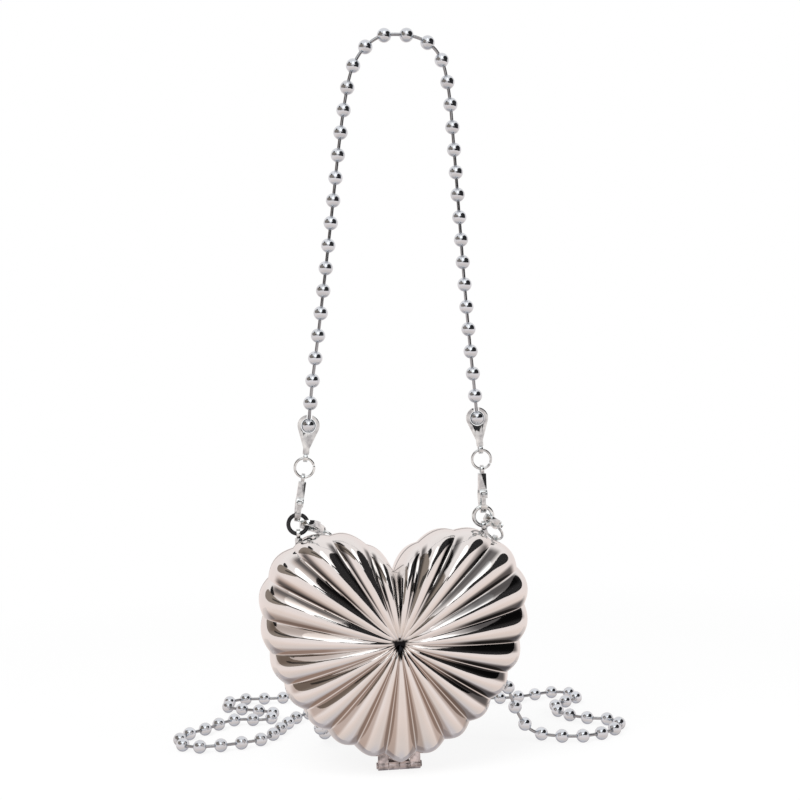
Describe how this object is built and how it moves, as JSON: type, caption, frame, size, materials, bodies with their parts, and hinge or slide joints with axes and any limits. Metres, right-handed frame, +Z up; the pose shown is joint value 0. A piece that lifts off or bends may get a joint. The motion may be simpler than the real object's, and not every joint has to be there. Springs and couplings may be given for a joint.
{
  "type": "heart_purse",
  "caption": "Heart shaped pleated hard purse in mirror silver, hinged at the bottom, with a ball chain handle and strap on clasps.",
  "frame": {"origin": "top of the handle chain, on its centre line, where the hand or hook holds it", "axes": "+Z up, the purse's front towards -Y, +X to the viewer's right"},
  "size_m": [0.2387, 0.1668, 0.3608],
  "materials": {
    "silver_shell": "mirror polished",
    "silver_metal": "polished",
    "black_ring": "black satin",
    "lining": "matte",
    "magnet": "satin"
  },
  "bodies": {
    "handle": {"handle_chain_balls": "silver_metal", "handle_chain_links": "silver_metal", "handle_left_connector": "silver_metal", "handle_right_connector": "silver_metal", "handle_left_jump_ring": "silver_metal", "handle_right_jump_ring": "silver_metal", "strap_chain_balls": "silver_metal", "strap_chain_links": "silver_metal"},
    "purse": {"back_shell": "silver_shell", "back_lining": "lining", "back_magnet": "magnet", "back_hinge_leaf": "silver_metal", "hinge_pin": "silver_metal", "left_lug": "silver_metal", "right_lug": "silver_metal", "left_lug_ring": "black_ring", "right_lug_ring": "silver_metal", "handle_left_clasp": "silver_metal", "handle_left_clasp_pin": "silver_metal", "handle_right_clasp": "silver_metal", "handle_right_clasp_pin": "silver_metal", "strap_left_clasp": "silver_metal", "strap_left_clasp_pin": "silver_metal", "strap_right_clasp": "silver_metal", "strap_right_clasp_pin": "silver_metal", "strap_left_jump_ring": "silver_metal", "strap_left_connector": "silver_metal", "strap_right_jump_ring": "silver_metal", "strap_right_connector": "silver_metal"},
    "lid": {"front_shell": "silver_shell", "front_lining": "lining", "front_magnet": "magnet", "front_hinge_leaf": "silver_metal"},
    "handle_left_gate": {"handle_left_clasp_gate": "silver_metal"},
    "handle_right_gate": {"handle_right_clasp_gate": "silver_metal"},
    "strap_left_gate": {"strap_left_clasp_gate": "silver_metal"},
    "strap_right_gate": {"strap_right_clasp_gate": "silver_metal"}
  },
  "joints": [
    {"name": "purse_swing", "type": "hinge", "parent": "handle", "child": "purse", "pos_m": [-0.0094, 0, -0.21213], "axis": [1, 0, 0], "range_deg": [-60, 60], "deforming": ["strap_chain_balls", "strap_chain_links"]},
    {"name": "lid_open", "type": "hinge", "parent": "purse", "child": "lid", "pos_m": [-0.0094, -0.0022, -0.35522], "axis": [1, 0, 0], "range_deg": [0, 50]},
    {"name": "handle_left_gate_press", "type": "hinge", "parent": "purse", "child": "handle_left_gate", "pos_m": [-0.05392, -0.0034, -0.22503], "axis": [0.9848, 0, -0.1736], "range_deg": [0, 22], "stiffness_Nm_per_rad": 0.01, "springref_deg": -10.03},
    {"name": "handle_right_gate_press", "type": "hinge", "parent": "purse", "child": "handle_right_gate", "pos_m": [0.03609, -0.0034, -0.22454], "axis": [1, 0, 0], "range_deg": [0, 22], "stiffness_Nm_per_rad": 0.01, "springref_deg": -10.03},
    {"name": "strap_left_gate_press", "type": "hinge", "parent": "purse", "child": "strap_left_gate", "pos_m": [-0.05076, 0.00612, -0.23737], "axis": [0.0552, 0.3166, 0.947], "range_deg": [0, 22], "stiffness_Nm_per_rad": 0.01, "springref_deg": -10.03},
    {"name": "strap_right_gate_press", "type": "hinge", "parent": "purse", "child": "strap_right_gate", "pos_m": [0.04457, 0.00383, -0.24022], "axis": [-0.5267, -0.1081, -0.8432], "range_deg": [0, 22], "stiffness_Nm_per_rad": 0.01, "springref_deg": -10.03}
  ]
}
